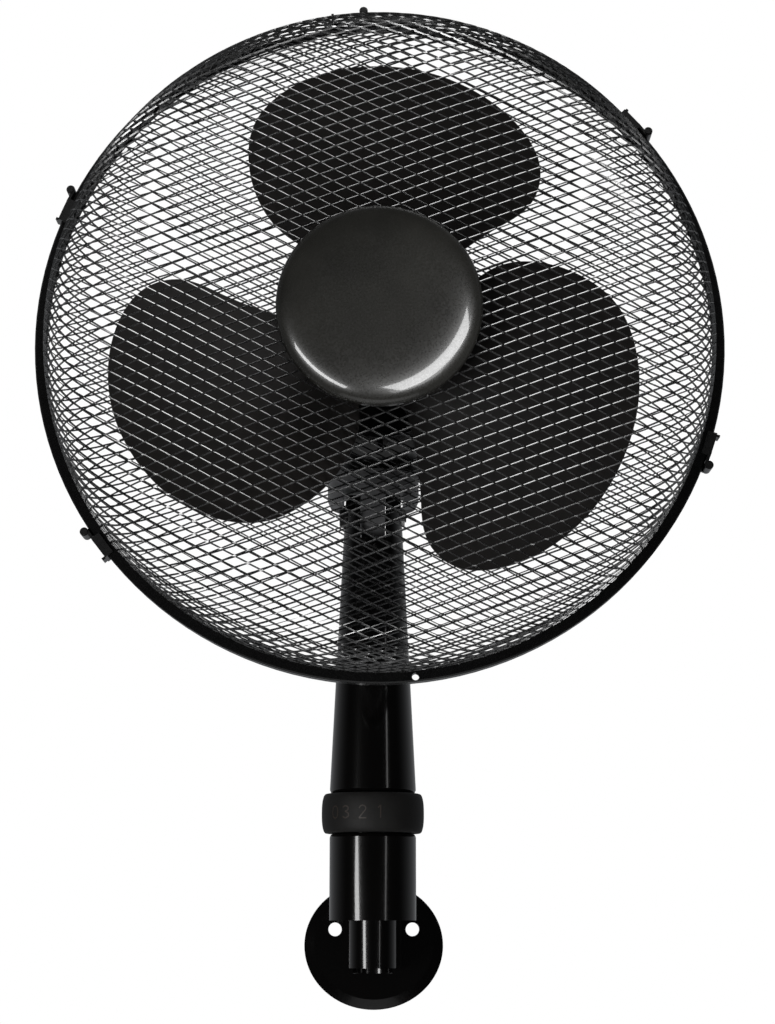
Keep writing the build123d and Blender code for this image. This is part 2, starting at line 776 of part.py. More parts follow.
def blade():
    """Twisted blade: a cambered helical sheet, trimmed to the outline."""
    rows = 5
    columns = 9
    grid = []
    for i in range(rows):
        radius = 20 + (blade_tip_radius + 12 - 20) * i / (rows - 1)
        line = []
        for j in range(columns):
            angle = 20 + 140 * j / (columns - 1)
            turn = math.radians(angle)
            line.append(Vector(radius * math.cos(turn), radius * math.sin(turn), blade_rise(radius, angle)))
        grid.append(line)
    sheet = Face.make_surface_from_array_of_points(grid)
    body = Pos(0, 0, -blade_thickness / 2) * extrude(sheet, blade_thickness * 1.1, dir=(0, 0, 1))
    cutter = Pos(0, 0, -60) * extrude(blade_outline(), 140)
    return body & cutter


def impeller():
    outer = hub_dia / 2
    inner = outer - hub_wall
    low = hub_back - blade_mid
    high = hub_front - blade_mid
    hub = turned([
        (shaft_dia / 2 + snug_gap, low + 8), (hub_boss_dia / 2, low + 8), (hub_boss_dia / 2, high - hub_wall),
        (inner - 3, high - hub_wall), (inner, high - hub_wall - 4), (inner, low), (outer, low),
        (outer, high - 5), (outer - 5, high), (shaft_dia / 2 + snug_gap, high),
    ])
    for k in range(6):
        hub += Rot(0, 0, 60 * k + 30) * block(hub_boss_dia / 2 - 1, inner + 1, -0.9, 0.9, high - 30, high - 2)
    single = blade() - rod(2 * (outer - 1.2), -80, 80)
    body = hub
    for k in range(blade_count):
        body += Rot(0, 0, 360 / blade_count * k) * single
    body = Pos(0, 0, blade_mid) * body
    half = drive_pin_length / 2 + 1
    body -= across(drive_pin_dia + 0.2, -half, half, 0, drive_pin_place())
    body -= Pos(0, 0, drive_pin_place() - 5) * Box(drive_pin_length + 2, drive_pin_dia + 0.2, 10)
    return FAN * body


def spinner_nut():
    body = rod(spinner_dia, hub_front, hub_front + spinner_height)
    body = chamfer(body.edges().sort_by(Axis.Z)[-1], 2)
    for k in range(8):
        groove = rod(3, hub_front + 1, hub_front + spinner_height + 1, x=spinner_dia / 2 + 0.7)
        body -= Rot(0, 0, 45 * k) * groove
    body -= rod(shaft_dia + 2 * snug_gap, hub_front - 1, shaft_front + 1)
    return FAN * body


# ---------------------------------------------------------------- grilles
def dome_profile(seat, hub):
    """Corners of a grille's generator, (radius, height above the rim), from its flat centre to its edge."""
    span = rim_inner - seat
    shares = ((0, 1.0), (0.52, 0.945), (0.83, 0.78), (0.965, 0.475), (1.0, 0.012))
    return [(seat + span * along, hub * up) for along, up in shares]


def faceted_bowl(corners):
    """Bowl of flat panels, like pressed sheet between its folds."""
    turns = [2 * math.pi * k / dome_sides for k in range(dome_sides)]
    rings = [[(r * math.cos(a), r * math.sin(a), z) for a in turns] for r, z in corners]
    panels = [make_face(Polyline(ring, close=True)) for ring in (rings[0], rings[-1])]
    for low, high in zip(rings, rings[1:]):
        for k in range(dome_sides):
            panels.append(make_face(Polyline([low[k - 1], low[k], high[k], high[k - 1]], close=True)))
    return Solid(Shell(panels))


def place_on(corners, distance):
    """Point and normal of the generator at a distance along it from its flat centre."""
    for (r0, z0), (r1, z1) in zip(corners, corners[1:]):
        length = math.hypot(r1 - r0, z1 - z0)
        if distance <= length or (r1, z1) == corners[-1]:
            along = distance / length
            normal = ((z0 - z1) / length, (r1 - r0) / length)
            return r0 + (r1 - r0) * along, z0 + (z1 - z0) * along, normal
        distance -= length


def punched_dome(bore, seat, hub):
    """Expanded metal pressed into a dome: a thin shell with diamonds punched square to its surface."""
    outside = dome_profile(seat, hub)
    inside = [(outside[0][0], hub - mesh_thickness)]
    inside += [(r - mesh_thickness * 0.7, z - mesh_thickness * 0.7) for r, z in outside[1:-1]]
    inside += [(outside[-1][0] - mesh_thickness, -0.5)]
    shell = faceted_bowl(outside) - faceted_bowl(inside)
    shell += pipe(2 * seat + 2, 2 * bore, hub - mesh_thickness, hub)
    shell -= rod(2 * bore, 0, hub + 1)
    shell += pipe(2 * rim_inner, 2 * rim_inner - 5.4, 1.0, 4.0)
    span = sum(math.dist(a, b) for a, b in zip(outside, outside[1:]))

    def on_dome(x, y):
        a = math.atan2(y, x)
        r, z, normal = place_on(outside, min(max(math.hypot(x, y) - seat, 0), span))
        place = Vector(r * math.cos(a), r * math.sin(a), z)
        return place, Vector(normal[0] * math.cos(a), normal[0] * math.sin(a), normal[1])

    half_long = mesh_long / 2 - strand_width * 1.15
    half_short = mesh_short / 2 - strand_width * 0.62
    columns = int((seat + span) / (mesh_long / 2)) + 2
    rows = int((seat + span) / (mesh_short / 2)) + 2
    field = Sketch() + Circle(seat + span - mesh_border) - Circle(seat + 2)
    tools = []
    for i in range(-columns, columns + 1):
        for j in range(-rows, rows + 1):
            cx = i * mesh_long / 2
            cy = j * mesh_short / 2
            if (i + j) % 2 or math.hypot(cx, cy) > seat + span + mesh_long / 2:
                continue
            cell = make_face(Polyline(
                [(cx + half_long, cy, 0), (cx, cy + half_short, 0),
                 (cx - half_long, cy, 0), (cx, cy - half_short, 0)],
                close=True,
            ))
            for piece in (field & cell).faces():
                if piece.area < 0.06 * mesh_long * mesh_short:
                    continue
                centre = piece.center()
                place, normal = on_dome(centre.X, centre.Y)
                plane = Plane(origin=place, z_dir=normal)
                flat = [plane.to_local_coords(on_dome(p.X, p.Y)[0]) for p in clean_corners(piece)]
                outline = make_face(Polyline([(p.X, p.Y, 0) for p in flat], close=True))
                tools.append(extrude(plane * outline, 9, both=True))
    return shell - tools


def clean_corners(piece):
    """Corners of a punched cell in order, with the middle of each curved side added."""
    corners = []
    for edge in piece.outer_wire().order_edges():
        corners.append(edge @ 0)
        if edge.geom_type != GeomType.LINE:
            corners.append(edge @ 0.5)
    return corners


def front_mesh():
    return FAN * Pos(0, 0, ring_ahead) * punched_dome(front_mesh_bore / 2, front_mesh_seat / 2, front_depth)


def rear_mesh():
    dome = punched_dome(rear_mesh_bore / 2, rear_mesh_seat / 2, rear_depth)
    return FAN * Pos(0, 0, ring_ahead) * Rot(180, 0, 0) * dome


def rim(low, high):
    outer = rim_dia / 2
    return turned([
        (rim_inner, low), (outer - 1, low), (outer, low + 1), (outer, high - 1), (outer - 1, high),
        (rim_inner, high),
    ])


def on_rim(angle, shape):
    return Rot(0, 0, angle) * shape


def front_rim():
    body = rim(ring_ahead, ring_ahead + rim_depth)
    hole = rod(rim_hole_dia, ring_ahead - 1, ring_ahead + rim_depth + 1, x=(rim_inner + rim_dia / 2) / 2)
    return FAN * (body - on_rim(rim_hole_angle, hole))


def clip_pin_radius():
    return rim_dia / 2 + clip_pin_stand


def clip_half():
    return math.degrees(clip_length / 2 / (rim_dia / 2))


def rear_rim():
    body = rim(ring_ahead - rim_depth, ring_ahead)
    slot = rod(rim_hole_dia, ring_ahead - rim_depth - 1, ring_ahead + 1, x=(rim_inner + rim_dia / 2) / 2)
    slot += block(rim_inner - 2, (rim_inner + rim_dia / 2) / 2, -rim_hole_dia / 2, rim_hole_dia / 2,
                  ring_ahead - rim_depth - 1, ring_ahead - rim_depth / 2)
    body -= on_rim(rim_hole_angle, slot)
    for angle in clip_angles:
        ear = rod(clip_eye_dia, ring_ahead - rim_depth, ring_ahead - rim_depth / 2, x=clip_pin_radius())
        ear += block(rim_dia / 2 - 2, clip_pin_radius(), -clip_eye_dia / 2, clip_eye_dia / 2,
                     ring_ahead - rim_depth, ring_ahead - rim_depth / 2)
        ear -= rod(clip_pin_dia + 2 * snug_gap, 0, ring_ahead, x=clip_pin_radius())
        body += on_rim(angle - clip_half(), ear)
    return FAN * body


def clip_rivets():
    low = ring_ahead - rim_depth
    high = ring_ahead + rim_depth + clip_wall + 2 * face_gap
    one = rod(clip_pin_dia, low, high) + rod(clip_pin_dia + 1.6, high, high + 0.9)
    return FAN * Compound(children=[
        on_rim(angle - clip_half(), Pos(clip_pin_radius(), 0, 0) * one) for angle in clip_angles
    ])


def clip(angle):
    """Snap clip that wraps both rims and swings out about its rivet."""
    outer = rim_dia / 2
    back = ring_ahead - rim_depth - face_gap - clip_wall
    front = ring_ahead + rim_depth + face_gap + clip_wall
    half = clip_half()
    wrap = pipe(2 * (outer + face_gap + clip_wall), 2 * (outer - clip_lip), back, front)
    wrap -= pipe(2 * (outer + face_gap), 2 * (outer - clip_lip) - 4, back + clip_wall, front - clip_wall)
    body = wrap & sector(outer, -half + 1.5, half)
    eye_low = ring_ahead - rim_depth / 2 + face_gap
    eye = rod(clip_eye_dia, eye_low, front, x=clip_pin_radius())
    start = Rot(0, 0, -half)
    bridge = block(outer + face_gap, outer + face_gap + clip_wall, 0, 8, eye_low, front)
    body += start * (eye + bridge)
    body -= rod(2 * (outer + face_gap), eye_low - 1, front - clip_wall)
    body -= start * rod(clip_pin_dia + 2 * shaft_gap, back - 1, front + 1, x=clip_pin_radius())
    tab = block(outer + face_gap, outer + 4.2, -1.6, 0, back + 3, front - 3)
    body += Rot(0, 0, half) * tab
    return FAN * on_rim(angle, body)


def rear_hub_plate():
    low = hub_plate_back
    plate = pipe(hub_plate_dia, thread_boss_dia + 2 * screw_gap, low, low + hub_plate_thickness)
    return FAN * plate


def grille_nut():
    low = hub_plate_back + hub_plate_thickness
    body = pipe(grille_nut_dia, thread_boss_dia + 2 * snug_gap, low, low + grille_nut_height)
    for k in range(12):
        body -= Rot(0, 0, 30 * k) * rod(6, low + 2, low + grille_nut_height + 1, x=grille_nut_dia / 2 + 1.2)
    return FAN * body


def cap_shoulder(outer, edge):
    corners = []
    for angle in (0, 30, 60, 90):
        turn = math.radians(angle)
        corners.append((
            outer - cap_edge_radius * (1 - math.cos(turn)),
            edge - cap_edge_radius * (1 - math.sin(turn)),
        ))
    return corners


def centre_cap():
    outer = cap_dia / 2
    base = cap_back
    top = base + cap_side + cap_crown
    edge = base + cap_side
    inner = outer - cap_wall
    outside = [
        (outer, base), *cap_shoulder(outer, edge), (outer * 0.62, top - cap_crown * 0.36),
        (outer * 0.3, top - cap_crown * 0.08), (0, top),
    ]
    inside = [
        (0, top - cap_wall), (outer * 0.62, top - cap_wall - cap_crown * 0.36), (inner - 2, edge - cap_wall),
        (inner, edge - cap_wall - 2), (inner, base),
    ]
    body = turned(outside + inside)
    for k in range(4):
        boss = rod(cap_boss_dia, base - mesh_thickness, edge - cap_wall + 1, x=cap_screw_circle / 2)
        boss -= rod(cap_screw_dia + 2 * snug_gap, base - 5, edge - cap_wall - 1, x=cap_screw_circle / 2)
        body += Rot(0, 0, 45 + 90 * k) * boss
    return FAN * body


def cap_plate():
    high = cap_back - mesh_thickness
    body = pipe(cap_plate_dia, cap_plate_bore, high - cap_plate_thickness, high)
    for k in range(4):
        body -= Rot(0, 0, 45 + 90 * k) * rod(
            cap_screw_dia + 2 * screw_gap, high - cap_plate_thickness - 1, high + 1, x=cap_screw_circle / 2
        )
    return FAN * body


def cap_screws():
    seat = cap_back - mesh_thickness - cap_plate_thickness
    one = Rot(180, 0, 0) * screw(cap_screw_dia, 6.0, 1.8, 7.5)
    return FAN * Compound(children=[
        Rot(0, 0, 45 + 90 * k) * Pos(cap_screw_circle / 2, 0, seat) * one for k in range(4)
    ])


# ---------------------------------------------------------------- build and write
nodes = {
    "wall_bracket": wall_bracket(),
    "base_tube": base_tube(),
    "lock_screw": lock_screw(),
    "cord_grommet": cord_grommet(),
    "switch_body": switch_body(),
    "switch_spider": switch_spider(),
    "switch_ring": switch_ring(),
    "column_tube": column_tube(),
    "column_screws": column_screws(),
    "tilt_bolt": tilt_bolt(),
    "tilt_nut": tilt_nut(),
    "neck": neck(),
    "pivot_post": pivot_post(),
    "thrust_washer": thrust_washer(),
    "link_stud": link_stud(),
    "motor_rear_cover": motor_rear_cover(),
    "motor_front_cover": motor_front_cover(),
    "motor_screws": motor_screws(),
    "rear_end_frame": rear_end_frame(),
    "front_end_frame": front_end_frame(),
    "stator_core": stator_core(),
    "stator_windings": stator_windings(),
    "rear_bearing": bearing(frame_rear - 6),
    "front_bearing": bearing(frame_front - 6),
    "gearbox_case": gearbox_case(),
    "gearbox_lid": gearbox_lid(),
    "rear_cover_screw": rear_cover_screw(),
    "worm_wheel": worm_wheel(),
    "drive_spindle": drive_spindle(),
    "crank_gear": crank_gear(),
    "link_rod": link_rod(),
    "oscillation_knob": oscillation_knob(),
    "motor_shaft": motor_shaft(),
    "rotor_core": rotor_core(),
    "thrust_collar": thrust_collar(),
    "drive_pin": drive_pin(),
    "impeller": impeller(),
    "spinner_nut": spinner_nut(),
    "rear_mesh": rear_mesh(),
    "rear_rim": rear_rim(),
    "rear_hub_plate": rear_hub_plate(),
    "grille_nut": grille_nut(),
    "front_mesh": front_mesh(),
    "front_rim": front_rim(),
    "clip_rivets": clip_rivets(),
    "cap_plate": cap_plate(),
    "centre_cap": centre_cap(),
    "cap_screws": cap_screws(),
}
for number, angle in enumerate(clip_angles, start=1):
    nodes[f"clip_{number}"] = clip(angle)

os.makedirs("parts", exist_ok=True)
for name, shape in nodes.items():
    export_step(shape, f"parts/{name}.step")
    print(name, round(shape.volume, 1))
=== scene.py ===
import json
import math

import bpy
import numpy as np
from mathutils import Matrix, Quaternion, Vector

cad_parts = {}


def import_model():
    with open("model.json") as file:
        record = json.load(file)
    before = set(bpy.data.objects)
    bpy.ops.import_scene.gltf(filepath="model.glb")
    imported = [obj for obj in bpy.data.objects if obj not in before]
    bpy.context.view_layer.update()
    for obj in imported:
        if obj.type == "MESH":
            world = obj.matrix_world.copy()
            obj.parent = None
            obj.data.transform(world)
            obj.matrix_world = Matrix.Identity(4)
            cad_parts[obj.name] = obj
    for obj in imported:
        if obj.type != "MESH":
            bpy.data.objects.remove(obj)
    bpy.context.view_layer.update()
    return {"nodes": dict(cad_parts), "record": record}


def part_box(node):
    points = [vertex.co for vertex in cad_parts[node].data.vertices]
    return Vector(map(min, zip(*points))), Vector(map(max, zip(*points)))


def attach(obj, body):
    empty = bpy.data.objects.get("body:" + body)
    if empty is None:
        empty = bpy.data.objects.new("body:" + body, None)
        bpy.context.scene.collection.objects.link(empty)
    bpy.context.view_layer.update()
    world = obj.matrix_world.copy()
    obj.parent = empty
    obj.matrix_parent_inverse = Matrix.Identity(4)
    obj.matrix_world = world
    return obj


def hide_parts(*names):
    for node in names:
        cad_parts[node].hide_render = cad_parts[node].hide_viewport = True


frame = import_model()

MM = 0.001
RECORD = frame["record"]
NODES = frame["nodes"]


# ---------------------------------------------------------------- places read from the frame
def middle(node):
    low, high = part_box(node)
    return (Vector(low) + Vector(high)) / 2


def low_of(node):
    return Vector(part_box(node)[0])


def high_of(node):
    return Vector(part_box(node)[1])


FAN_AXIS = middle("front_mesh").z             # height of the fan's axis
FAN_MIDDLE = middle("front_mesh").x           # the fan's axis stands a little beside the column
MEETING = high_of("front_rim").y              # plane where the two guards meet
GUARD_RADIUS = (high_of("front_mesh").x - low_of("front_mesh").x) / 2
FRONT_DEPTH = MEETING - low_of("front_mesh").y
REAR_DEPTH = high_of("rear_mesh").y - MEETING
COLUMN_Y = middle("switch_ring").y
CAP_RADIUS = (high_of("centre_cap").x - low_of("centre_cap").x) / 2
RING_RADIUS = (high_of("switch_ring").x - low_of("switch_ring").x) / 2
RING_LOW, RING_HIGH = low_of("switch_ring").z, high_of("switch_ring").z


# ---------------------------------------------------------------- materials
NOISE_SPAN = (0.3, 0.7)       # the noise is clamped to these before it is mapped
MOTTLE = 30                   # the mottling is this many times coarser than the grain
COAT_ROUGHNESS = 0.06
LEAST_ROUGHNESS = 0.02
BUMP_DEPTH = 0.0002


def value_range(tree, source, low, high):
    """Maps a noise value onto a range."""
    node = tree.nodes.new("ShaderNodeMapRange")
    node.inputs["From Min"].default_value = NOISE_SPAN[0]
    node.inputs["From Max"].default_value = NOISE_SPAN[1]
    node.inputs["To Min"].default_value = low
    node.inputs["To Max"].default_value = high
    tree.links.new(source, node.inputs["Value"])
    return node.outputs["Result"]


def noise(tree, place, scale, detail=3.0):
    node = tree.nodes.new("ShaderNodeTexNoise")
    node.inputs["Scale"].default_value = scale
    node.inputs["Detail"].default_value = detail
    tree.links.new(place, node.inputs["Vector"])
    return node.outputs["Fac"]


def finish(name, colour, roughness, metallic=0.0, coat=0.0, spread=0.12, uneven=0.06,
           grain=1500.0, bump=0.02, stretch=(1, 1, 1), specular=0.5, index=1.5):
    """A surface with slow mottling in colour, uneven gloss and a fine grain."""
    material = bpy.data.materials.new(name)
    material.use_nodes = True
    tree = material.node_tree
    shader = tree.nodes["Principled BSDF"]
    shader.inputs["Metallic"].default_value = metallic
    shader.inputs["Coat Weight"].default_value = coat
    shader.inputs["Coat Roughness"].default_value = COAT_ROUGHNESS
    shader.inputs["Specular IOR Level"].default_value = specular
    shader.inputs["IOR"].default_value = index
    place = tree.nodes.new("ShaderNodeTexCoord").outputs["Object"]
    mapping = tree.nodes.new("ShaderNodeMapping")
    mapping.inputs["Scale"].default_value = stretch
    tree.links.new(place, mapping.inputs["Vector"])
    place = mapping.outputs["Vector"]
    slow = noise(tree, place, grain / MOTTLE)
    fine = noise(tree, place, grain, detail=4.0)
    mix = tree.nodes.new("ShaderNodeMix")
    mix.data_type = "RGBA"
    mix.inputs["A"].default_value = [c * (1 - spread) for c in colour] + [1]
    mix.inputs["B"].default_value = [min(1.0, c * (1 + spread)) for c in colour] + [1]
    tree.links.new(value_range(tree, slow, 0, 1), mix.inputs["Factor"])
    tree.links.new(mix.outputs["Result"], shader.inputs["Base Color"])
    rough = value_range(tree, fine, max(LEAST_ROUGHNESS, roughness - uneven), roughness + uneven)
    tree.links.new(rough, shader.inputs["Roughness"])
    bumps = tree.nodes.new("ShaderNodeBump")
    bumps.inputs["Strength"].default_value = bump
    bumps.inputs["Distance"].default_value = BUMP_DEPTH
    tree.links.new(fine, bumps.inputs["Height"])
    tree.links.new(bumps.outputs["Normal"], shader.inputs["Normal"])
    return material


FINISHES = {
    "black_gloss": finish("gloss black plastic", (0.002, 0.0018, 0.0017), 0.17, coat=0.5, bump=0.01,
                          specular=0.25, uneven=0.03),
    "grey_plastic": finish("grey plastic", (0.15, 0.15, 0.155), 0.38, grain=2500, bump=0.08),
    "ring_plastic": finish("dark rubbery plastic", (0.008, 0.0075, 0.007), 0.6, grain=3500, bump=0.2,
                           specular=0.35),
    "black_plastic": finish("matte black plastic", (0.006, 0.006, 0.006), 0.45, grain=2500, bump=0.1,
                            specular=0.35),
    "black_rubber": finish("black rubber", (0.014, 0.014, 0.014), 0.7, grain=2500, bump=0.2),
    "guard_metal": finish("black coated expanded metal", (0.002, 0.002, 0.002), 0.27, bump=0.01,
                          index=2.4, uneven=0.04),
    "black_rim": finish("black rim", (0.003, 0.003, 0.003), 0.26, coat=0.2, bump=0.01, specular=0.35),
    "zinc_steel": finish("zinc plated steel", (0.55, 0.55, 0.54), 0.3, metallic=1.0, bump=0.1),
    "cast_alloy": finish("cast alloy", (0.5, 0.5, 0.51), 0.5, metallic=1.0, bump=0.3),
    "core_steel": finish("laminated steel", (0.25, 0.25, 0.26), 0.4, metallic=1.0, stretch=(1, 30, 1)),
    "copper_winding": finish("varnished wire", (0.45, 0.17, 0.06), 0.35, metallic=0.9, stretch=(1, 8, 1)),
    "white_plastic": finish("natural plastic", (0.65, 0.64, 0.6), 0.45, bump=0.05),
    "dark_plastic": finish("gloss black moulding", (0.010, 0.010, 0.011), 0.2, coat=0.4, bump=0.02),
    "black_clip": finish("black clip", (0.012, 0.012, 0.012), 0.3, coat=0.3, bump=0.02),
    "black_paint": finish("black painted sheet", (0.012, 0.012, 0.013), 0.35, bump=0.1),
}
BLADE = finish("satin blade", (0.0085, 0.0073, 0.0066), 0.52, grain=2500, bump=0.06, spread=0.2,
               specular=0.16)
CAP = finish("gloss cap", (0.013, 0.0127, 0.0112), 0.3, coat=0.8, grain=900, bump=0.006, spread=0.25)
DIGITS = finish("faint print", (0.03, 0.021, 0.016), 0.5, grain=3000)

slots = {entry["node"]: entry["material_slot"] for entry in RECORD["subparts"]}
for node_name, thing in NODES.items():
    for slot in thing.material_slots:
        slot.material = FINISHES[slots[node_name]]
for slot in NODES["impeller"].material_slots:
    slot.material = BLADE
for slot in NODES["clip_rivets"].material_slots:
    slot.material = FINISHES["black_clip"]


# ---------------------------------------------------------------- mesh helpers
def make(name, vertices, faces, material, body, replaces=(), smooth=True):
    """A piece of the visual model that rides on a body and may stand for CAD nodes."""
    mesh = bpy.data.meshes.new(name)
    mesh.from_pydata([tuple(v) for v in vertices], [], faces)
    mesh.validate()
    mesh.update()
    piece = bpy.data.objects.new(name, mesh)
    bpy.context.collection.objects.link(piece)
    mesh.materials.append(material)
    mesh.polygons.foreach_set("use_smooth", [smooth] * len(mesh.polygons))
    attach(piece, body)
    if replaces:
        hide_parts(*replaces)
    return piece


def soften(piece, degrees):
    """Keeps the edges of a smooth piece that are sharper than an angle."""
    piece.data.set_sharp_from_angle(angle=math.radians(degrees))


LEAST_RADIUS = 1e-6           # keeps the points at a pole apart
ROUND = 128                   # points round a turned piece


def lathe(profile, count, place):
    """Surface of revolution: profile points (radius, height) turned about an axis.

    place(radius, angle, height) gives the point in space."""
    vertices = []
    for r, h in profile:
        for k in range(count):
            vertices.append(place(max(r, LEAST_RADIUS), 2 * math.pi * k / count, h))
    faces = []
    for i in range(len(profile) - 1):
        for k in range(count):
            n = (k + 1) % count
            faces.append((i * count + k, i * count + n, (i + 1) * count + n, (i + 1) * count + k))
    return vertices, faces


def about_fan(radius, angle, ahead):
    """Point at a radius and angle about the fan's axis, ahead of the meeting plane."""
    across = FAN_MIDDLE + radius * math.cos(angle)
    return Vector((across, MEETING - ahead, FAN_AXIS + radius * math.sin(angle)))


def about_column(radius, angle, height):
    """Point at a radius and angle about the column's axis, at a height."""
    return Vector((radius * math.cos(angle), COLUMN_Y + radius * math.sin(angle), height))


# ---------------------------------------------------------------- expanded metal guards
LONG_WAY = 16.5 * MM          # long way of a diamond
SHORT_WAY = 7.5 * MM
STRAND = 0.48 * MM            # width of a strand
SHEET = 0.95 * MM             # thickness of the sheet
LEAN = math.radians(-30)      # strands lean out of the sheet like the slats of a louvre
LAY = math.radians(-4.0)      # the pattern lies a little clockwise in the guard
REAR_STRAND = 0.85 * MM       # width in the rear guard, whose strands lie flat
BOND = 1.2 * MM               # half length of the joint between two strands
BOND_WIDTH = 1.5              # width of the joint, in strand widths
ROOT_IN = 0.45                # a strand starts at this share of the joint's half length
ROOT_OFF = 0.42               # and this many strand widths beside its middle
FRONT_SEAT = 63 * MM          # radius of the front guard's flat middle
FRONT_BORE = 52 * MM          # radius of the hole in it
REAR_SEAT = 52 * MM
REAR_BORE = 42 * MM
MARGIN = 0.3 * MM             # the profile ends this far inside the guard's outline
SHOULDER = (19 * MM, 1.2 * MM)    # second control point: in from the edge, back from the front
FLANK = (2 * MM, 0.745)       # third control point: in from the edge, share of the depth
FOOT = 1.5 * MM               # and this far from the meeting plane
PROFILE_POINTS = 161
PROBE = 0.2 * MM              # step along the sheet that gives the dome's slope
PROBE_SHARE = 0.02            # step along a strand that gives its direction
HALVINGS = 12                 # steps that find where a strand meets the guard's edge
SHORTEST = 0.05               # share of a strand under which it is left out
SPARE = 3                     # rows and columns tried beyond the guard's edge


def bezier(points, share):
    """Point of the curve that a row of control points gives."""
    a = np.array(points, dtype=float)
    while len(a) > 1:
        a = a[:-1] + (a[1:] - a[:-1]) * share
    return a[0]


def guard_line(seat, depth):
    """Table of (length along the profile, radius, depth) from the middle of a guard to its rim."""
    reach = GUARD_RADIUS - MARGIN
    corners = [
        (seat, depth - SHEET), (reach - SHOULDER[0], depth - SHOULDER[1]),
        (reach - FLANK[0], depth * FLANK[1]), (reach, FOOT),
    ]
    shares = np.linspace(0, 1, PROFILE_POINTS)
    points = np.array([bezier(corners, s) for s in shares])
    steps = np.hypot(*np.diff(points, axis=0).T)
    length = np.concatenate([[0], np.cumsum(steps)]) + seat
    return length, points[:, 0], points[:, 1]


def expanded_metal(name, seat, inner, depth, facing, node, strand, lean):
    """Guard of strands that follow the pressed dome; facing is 1 at the front and -1 at the rear."""
    length, radius, rise = guard_line(seat, depth)
    end = length[-1]

    def on_profile(flat, domed):
        """Radius and height at a length from the guard's middle."""
        if domed:
            return float(np.interp(flat, length, radius)), float(np.interp(flat, length, rise))
        return flat, float(rise[0])

    def on_guard(x, y):
        """Point and outward normal of the dome for a point of the flat sheet."""
        flat = math.hypot(x, y)
        angle = math.atan2(y, x)
        r, h = on_profile(flat, flat > seat)
        r2, h2 = on_profile(flat + PROBE, flat > seat)
        dr, dh = r2 - r, h2 - h
        if flat + PROBE > end:
            dr, dh = 0.0, -1.0
        size = math.hypot(dr, dh)
        point = about_fan(r, angle, facing * h)
        out = Vector((-dh / size * math.cos(angle), -facing * dr / size, -dh / size * math.sin(angle)))
        return point, out

    vertices = []
    faces = []

    def bar(start, stop, width, turn, parts):
        """Bar of the sheet between two flat points, with its section turned out of the sheet."""
        base = len(vertices)
        for k in range(parts + 1):
            t = k / parts
            x = start[0] + (stop[0] - start[0]) * t
            y = start[1] + (stop[1] - start[1]) * t
            point, out = on_guard(x, y)
            step = ((stop[0] - start[0]) * PROBE_SHARE, (stop[1] - start[1]) * PROBE_SHARE)
            other, _ = on_guard(x + step[0], y + step[1])
            along = (other - point).normalized()
            side = out.cross(along).normalized()
            across = side * math.cos(turn) + out * math.sin(turn)
            through = out * math.cos(turn) - side * math.sin(turn)
            for a, b in ((-1, -1), (1, -1), (1, 1), (-1, 1)):
                vertices.append(point + across * (a * width / 2) + through * (b * SHEET / 2))
        for k in range(parts):
            one = base + 4 * k
            for j in range(4):
                n = (j + 1) % 4
                faces.append((one + j, one + n, one + 4 + n, one + 4 + j))
        faces.append((base + 3, base + 2, base + 1, base))
        last = base + 4 * parts
        faces.append((last, last + 1, last + 2, last + 3))

    def inside(p):
        return inner <= math.hypot(*p) <= end

    def cut(p, q):
        """Trims a strand to the guard's two edges."""
        if inside(p) and inside(q):
            return p, q
        if not inside(p) and not inside(q):
            return None
        good, bad = (p, q) if inside(p) else (q, p)
        low, high = 0.0, 1.0
        for _ in range(HALVINGS):
            half = (low + high) / 2
            test = (good[0] + (bad[0] - good[0]) * half, good[1] + (bad[1] - good[1]) * half)
            if inside(test):
                low = half
            else:
                high = half
        if low < SHORTEST:
            return None
        return good, (good[0] + (bad[0] - good[0]) * low, good[1] + (bad[1] - good[1]) * low)

    def laid(x, y):
        """Turns a point of the sheet by the pattern's lay."""
        return x * math.cos(LAY) - y * math.sin(LAY), x * math.sin(LAY) + y * math.cos(LAY)

    columns = int(end / (LONG_WAY / 2)) + SPARE
    rows = int(end / (SHORT_WAY / 2)) + SPARE
    for i in range(-columns, columns + 1):
        for j in range(-rows, rows + 1):
            if (i + j) % 2:
                continue
            x, y = i * LONG_WAY / 2, j * SHORT_WAY / 2
            if math.hypot(x, y) > end + LONG_WAY or math.hypot(x, y) < inner - LONG_WAY:
                continue
            joint = (laid(x - BOND, y), laid(x + BOND, y))
            if inside(joint[0]) and inside(joint[1]):
                bar(joint[0], joint[1], BOND_WIDTH * strand, 0.0, 1)
            for way in (-1, 1):
                start = laid(x + BOND * ROOT_IN, y + way * strand * ROOT_OFF)
                stop = laid(x + LONG_WAY / 2 - BOND * ROOT_IN, y + way * (SHORT_WAY / 2 - strand * ROOT_OFF))
                kept = cut(start, stop)
                if kept:
                    bar(kept[0], kept[1], strand, lean, 2)
    make(name, vertices, faces, FINISHES["guard_metal"], "head", (node,), smooth=False)


expanded_metal("front_guard", FRONT_SEAT, FRONT_BORE, FRONT_DEPTH, 1, "front_mesh", STRAND, LEAN)
expanded_metal("rear_guard", REAR_SEAT, REAR_BORE, REAR_DEPTH, -1, "rear_mesh", REAR_STRAND, 0.0)


